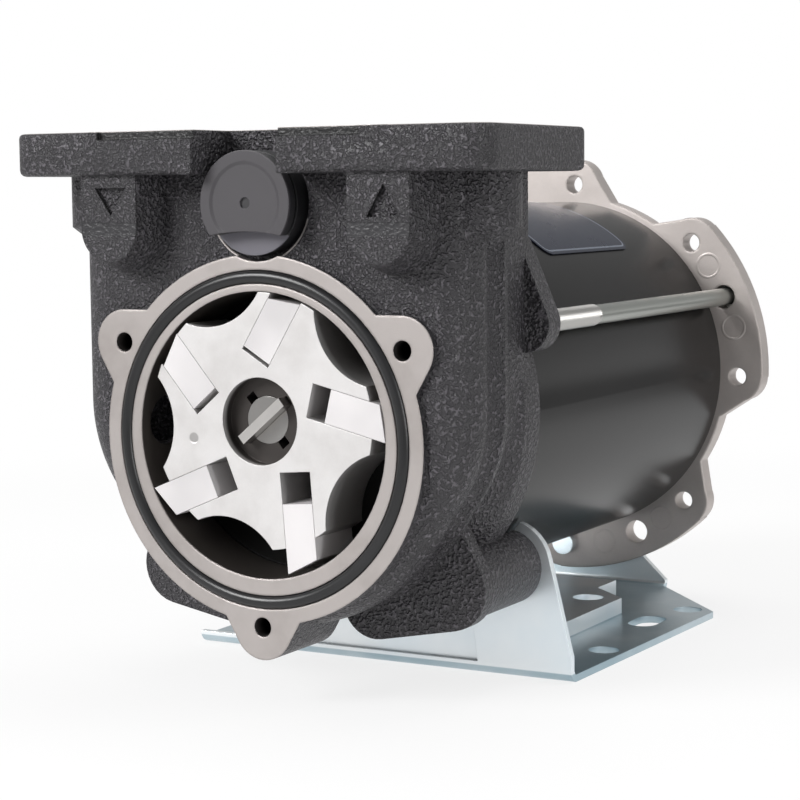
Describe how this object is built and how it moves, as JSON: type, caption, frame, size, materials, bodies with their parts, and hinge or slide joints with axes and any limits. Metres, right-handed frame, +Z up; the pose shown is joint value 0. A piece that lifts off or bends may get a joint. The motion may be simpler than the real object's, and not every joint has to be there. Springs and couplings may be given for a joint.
{
  "type": "rotary vane fuel pump",
  "caption": "Electric rotary vane fuel pump with its cover off: eccentric rotor with sliding vanes, cast body with port flange, bypass valve, motor and foot bracket.",
  "frame": {"origin": "middle of the part's footprint, on the surface that the foot bracket stands on", "axes": "+X to the right seen from the open pump face, +Y back along the motor, +Z up through the port flange"},
  "size_m": [0.1372, 0.208, 0.1446],
  "materials": {
    "cast_black": "coarse textured black paint over the casting, machined faces bare",
    "seal_rubber": "smooth black nitrile rubber",
    "rotor_metal": "light grey, finely machined",
    "vane_plastic": "milky white engineering plastic",
    "steel": "turned and ground steel",
    "cap_plastic": "satin dark grey plastic",
    "spring_steel": "drawn spring wire",
    "brass": "turned brass",
    "can_black": "satin black powder coat",
    "ferrite": "dull ferrite",
    "core_iron": "stacked sheet iron",
    "copper": "enamelled copper",
    "carbon": "dull carbon",
    "board": "laminated insulating board",
    "shield_metal": "bare die-cast aluminium",
    "zinc": "bright blue-white zinc plating",
    "plate_blue": "glossy dark blue film, blank"
  },
  "bodies": {
    "housing": {"pump_body": "cast_black", "chamber_o_ring": "seal_rubber", "bearing_circlip": "spring_steel", "shaft_seal": "seal_rubber", "front_bearing_outer": "steel", "bypass_cap": "cap_plastic", "bypass_cap_seal": "seal_rubber", "motor_can": "can_black", "field_magnets": "ferrite", "brush_holders": "board", "brush_left": "carbon", "brush_right": "carbon", "brush_springs": "spring_steel", "rear_shield": "shield_metal", "rear_bearing_outer": "steel", "wave_washer": "spring_steel", "tie_rods": "zinc", "earth_screw": "zinc", "rating_plate": "plate_blue", "cable_grommet": "seal_rubber", "foot_bracket": "zinc", "bracket_screws": "zinc", "bracket_washers": "zinc"},
    "rotor_set": {"rotor": "rotor_metal", "motor_shaft": "steel", "cross_key": "steel", "front_bearing_inner": "steel", "rear_bearing_inner": "steel", "armature_core": "core_iron", "armature_windings": "copper", "commutator": "copper"},
    "vane_1_set": {"vane_1": "vane_plastic"},
    "vane_2_set": {"vane_2": "vane_plastic"},
    "vane_3_set": {"vane_3": "vane_plastic"},
    "vane_4_set": {"vane_4": "vane_plastic"},
    "vane_5_set": {"vane_5": "vane_plastic"},
    "poppet_set": {"bypass_poppet": "brass", "bypass_spring": "spring_steel"}
  },
  "joints": [
    {"name": "rotor_spin", "type": "hinge", "parent": "housing", "child": "rotor_set", "pos_m": [0, -0.094, 0.0725], "axis": [0, -1, 0], "range_deg": [-36, 36]},
    {"name": "vane_1_slide", "type": "slide", "parent": "rotor_set", "child": "vane_1_set", "axis": [0.5225, 0, 0.8526], "range_m": [-0.00088, 0.00095]},
    {"name": "vane_2_slide", "type": "slide", "parent": "rotor_set", "child": "vane_2_set", "axis": [0.9724, 0, -0.2334], "range_m": [-0.0023, 0.0023]},
    {"name": "vane_3_slide", "type": "slide", "parent": "rotor_set", "child": "vane_3_set", "axis": [0.0785, 0, -0.9969], "range_m": [-0.0008, 0.0008]},
    {"name": "vane_4_slide", "type": "slide", "parent": "rotor_set", "child": "vane_4_set", "axis": [-0.9239, 0, -0.3827], "range_m": [-0.0021, 0.0021]},
    {"name": "vane_5_slide", "type": "slide", "parent": "rotor_set", "child": "vane_5_set", "axis": [-0.6494, 0, 0.7604], "range_m": [-0.00162, 0.00165]},
    {"name": "bypass_lift", "type": "slide", "parent": "housing", "child": "poppet_set", "axis": [0, -1, 0], "range_m": [0, 0.004], "stiffness_N_per_m": 2500, "springref_m": -0.006, "deforming": ["bypass_spring"]}
  ],
  "couplings": [
    {"joint": "vane_1_slide", "follows": "rotor_spin", "m_per_rad": -0.0013},
    {"joint": "vane_2_slide", "follows": "rotor_spin", "m_per_rad": -0.003446},
    {"joint": "vane_3_slide", "follows": "rotor_spin", "m_per_rad": -0.00074},
    {"joint": "vane_4_slide", "follows": "rotor_spin", "m_per_rad": 0.00303},
    {"joint": "vane_5_slide", "follows": "rotor_spin", "m_per_rad": 0.002525}
  ]
}
